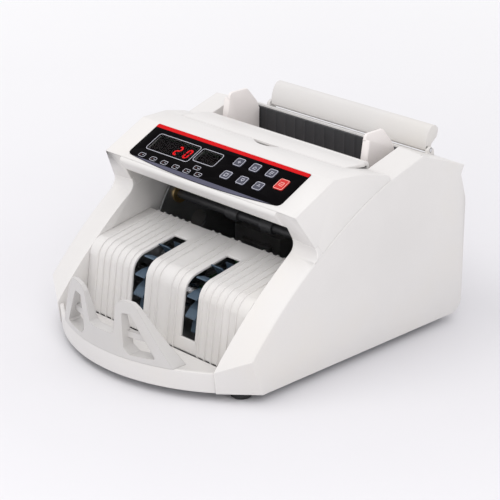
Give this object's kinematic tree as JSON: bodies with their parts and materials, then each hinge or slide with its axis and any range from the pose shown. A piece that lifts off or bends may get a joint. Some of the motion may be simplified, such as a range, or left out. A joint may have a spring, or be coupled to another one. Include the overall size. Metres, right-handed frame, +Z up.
{
  "type": "banknote counting machine",
  "caption": "Desktop banknote counter: sloping control face with digit display and keys, top hopper with sliding guides, front stacker tray with finger fence.",
  "frame": {"origin": "centre of the footprint, on the surface the feet stand on", "axes": "+X to the operator's right, +Y to the back, +Z up"},
  "size_m": [0.25, 0.306, 0.177],
  "materials": {
    "casing": "fine moulded texture, warm off-white",
    "guide_plastic": "smooth moulded off-white",
    "dark_plastic": "fine texture, near black",
    "sheet_steel": "zinc-plated sheet",
    "shaft_steel": "ground bar",
    "screw_steel": "plated",
    "motor_can": "drawn can",
    "core_steel": "varnished laminations",
    "roller_rubber": "ground rubber",
    "belt_rubber": "moulded belt",
    "foot_rubber": "moulded",
    "impeller_rubber": "blue-black moulded rubber",
    "pulley_plastic": "moulded black acetal",
    "bush_brass": "sintered",
    "overlay_black": "printed polyester film, satin",
    "window_smoke": "smoked clear window",
    "digit_face": "diffused digit face",
    "board_green": "solder mask",
    "key_grey": "embossed satin film",
    "key_red": "embossed satin film"
  },
  "bodies": {
    "machine": {"right_side_cover": "casing", "left_side_cover": "casing", "head_housing": "casing", "head_underplate": "dark_plastic", "hopper_chute": "casing", "hopper_floor": "guide_plastic", "hopper_back": "dark_plastic", "rear_deck": "casing", "rear_panel": "casing", "base_pan": "sheet_steel", "rubber_feet": "foot_rubber", "stacker_tray": "casing", "finger_fence": "casing", "stacker_plate": "casing", "right_frame": "sheet_steel", "left_frame": "sheet_steel", "shaft_bushes": "bush_brass", "guide_rail": "shaft_steel", "feed_motor": "motor_can", "stacker_motor": "motor_can", "feed_belt": "belt_rubber", "pickup_belt": "belt_rubber", "stacker_belt": "belt_rubber", "screw_bridge": "sheet_steel", "bar_pins": "shaft_steel", "control_overlay": "overlay_black", "display_windows": "window_smoke", "digit_modules": "digit_face", "display_board": "board_green", "power_inlet": "dark_plastic", "main_board": "board_green", "transformer": "core_steel", "casing_screws": "screw_steel"},
    "feed_train": {"feed_shaft": "shaft_steel", "feed_rollers": "roller_rubber", "feed_pulley": "pulley_plastic"},
    "pickup_train": {"pickup_shaft": "shaft_steel", "pickup_rollers": "roller_rubber", "pickup_pulley": "pulley_plastic"},
    "idler": {"idler_shaft": "pulley_plastic"},
    "impeller_train": {"impeller_shaft": "shaft_steel", "impeller_left": "impeller_rubber", "impeller_right": "impeller_rubber", "impeller_pulley": "pulley_plastic"},
    "feed_rotor": {"feed_motor_rotor": "shaft_steel"},
    "stacker_rotor": {"stacker_motor_rotor": "shaft_steel"},
    "separator": {"separator_holder": "dark_plastic", "separator_pad": "roller_rubber"},
    "thumb_screw": {"adjusting_screw": "pulley_plastic"},
    "left_guide": {"guide_left": "guide_plastic"},
    "right_guide": {"guide_right": "guide_plastic"},
    "back_rest": {"carry_bar": "casing"},
    "power_rocker": {"rocker_switch": "dark_plastic"},
    "key_upper_1_cap": {"key_upper_1": "key_grey"},
    "key_upper_2_cap": {"key_upper_2": "key_grey"},
    "key_upper_3_cap": {"key_upper_3": "key_grey"},
    "key_lower_1_cap": {"key_lower_1": "key_grey"},
    "key_lower_2_cap": {"key_lower_2": "key_grey"},
    "key_lower_3_cap": {"key_lower_3": "key_grey"},
    "key_reset_cap": {"key_reset": "key_red"}
  },
  "joints": [
    {"name": "feed_spin", "type": "hinge", "parent": "machine", "child": "feed_train", "pos_m": [0, 0.038, 0.1], "axis": [1, 0, 0], "continuous": true},
    {"name": "pickup_spin", "type": "hinge", "parent": "machine", "child": "pickup_train", "pos_m": [0, 0.072, 0.1055], "axis": [1, 0, 0], "continuous": true},
    {"name": "idler_spin", "type": "hinge", "parent": "machine", "child": "idler", "pos_m": [0, 0.0181, 0.0921], "axis": [1, 0, 0], "continuous": true},
    {"name": "feed_motor_spin", "type": "hinge", "parent": "machine", "child": "feed_rotor", "pos_m": [0, 0.095, 0.04], "axis": [1, 0, 0], "continuous": true},
    {"name": "impeller_spin", "type": "hinge", "parent": "machine", "child": "impeller_train", "pos_m": [0, -0.051, 0.046], "axis": [1, 0, 0], "continuous": true},
    {"name": "stacker_motor_spin", "type": "hinge", "parent": "machine", "child": "stacker_rotor", "pos_m": [0, 0.006, 0.034], "axis": [1, 0, 0], "continuous": true},
    {"name": "screw_turn", "type": "hinge", "parent": "machine", "child": "thumb_screw", "pos_m": [0.027, 0.04, 0.15], "axis": [0, 0, 1], "range_deg": [0, 720]},
    {"name": "separator_lift", "type": "slide", "parent": "machine", "child": "separator", "axis": [0, 0, 1], "range_m": [0, 0.0014]},
    {"name": "left_guide_slide", "type": "slide", "parent": "machine", "child": "left_guide", "axis": [1, 0, 0], "range_m": [-0.009, 0.035]},
    {"name": "right_guide_slide", "type": "slide", "parent": "machine", "child": "right_guide", "axis": [-1, 0, 0], "range_m": [-0.009, 0.035]},
    {"name": "back_rest_tilt", "type": "hinge", "parent": "machine", "child": "back_rest", "pos_m": [0, 0.1355, 0.151], "axis": [-1, 0, 0], "range_deg": [0, 45]},
    {"name": "power_rock", "type": "hinge", "parent": "machine", "child": "power_rocker", "pos_m": [-0.03675, 0.147, 0.04], "axis": [-1, 0, 0], "range_deg": [0, 18]},
    {"name": "key_upper_1_press", "type": "slide", "parent": "machine", "child": "key_upper_1_cap", "axis": [0, 0.4347, -0.9006], "range_m": [0, 0.0005], "stiffness_N_per_m": 900, "springref_m": -0.0002},
    {"name": "key_upper_2_press", "type": "slide", "parent": "machine", "child": "key_upper_2_cap", "axis": [0, 0.4347, -0.9006], "range_m": [0, 0.0005], "stiffness_N_per_m": 900, "springref_m": -0.0002},
    {"name": "key_upper_3_press", "type": "slide", "parent": "machine", "child": "key_upper_3_cap", "axis": [0, 0.4347, -0.9006], "range_m": [0, 0.0005], "stiffness_N_per_m": 900, "springref_m": -0.0002},
    {"name": "key_lower_1_press", "type": "slide", "parent": "machine", "child": "key_lower_1_cap", "axis": [0, 0.4347, -0.9006], "range_m": [0, 0.0005], "stiffness_N_per_m": 900, "springref_m": -0.0002},
    {"name": "key_lower_2_press", "type": "slide", "parent": "machine", "child": "key_lower_2_cap", "axis": [0, 0.4347, -0.9006], "range_m": [0, 0.0005], "stiffness_N_per_m": 900, "springref_m": -0.0002},
    {"name": "key_lower_3_press", "type": "slide", "parent": "machine", "child": "key_lower_3_cap", "axis": [0, 0.4347, -0.9006], "range_m": [0, 0.0005], "stiffness_N_per_m": 900, "springref_m": -0.0002},
    {"name": "key_reset_press", "type": "slide", "parent": "machine", "child": "key_reset_cap", "axis": [0, 0.4347, -0.9006], "range_m": [0, 0.0005], "stiffness_N_per_m": 900, "springref_m": -0.0002}
  ],
  "couplings": [
    {"joint": "pickup_spin", "follows": "feed_spin", "ratio": 1},
    {"joint": "idler_spin", "follows": "feed_spin", "ratio": -2.5},
    {"joint": "feed_motor_spin", "follows": "feed_spin", "ratio": 2},
    {"joint": "stacker_motor_spin", "follows": "impeller_spin", "ratio": 2},
    {"joint": "screw_turn", "follows": "separator_lift", "rad_per_m": 8975.9}
  ]
}
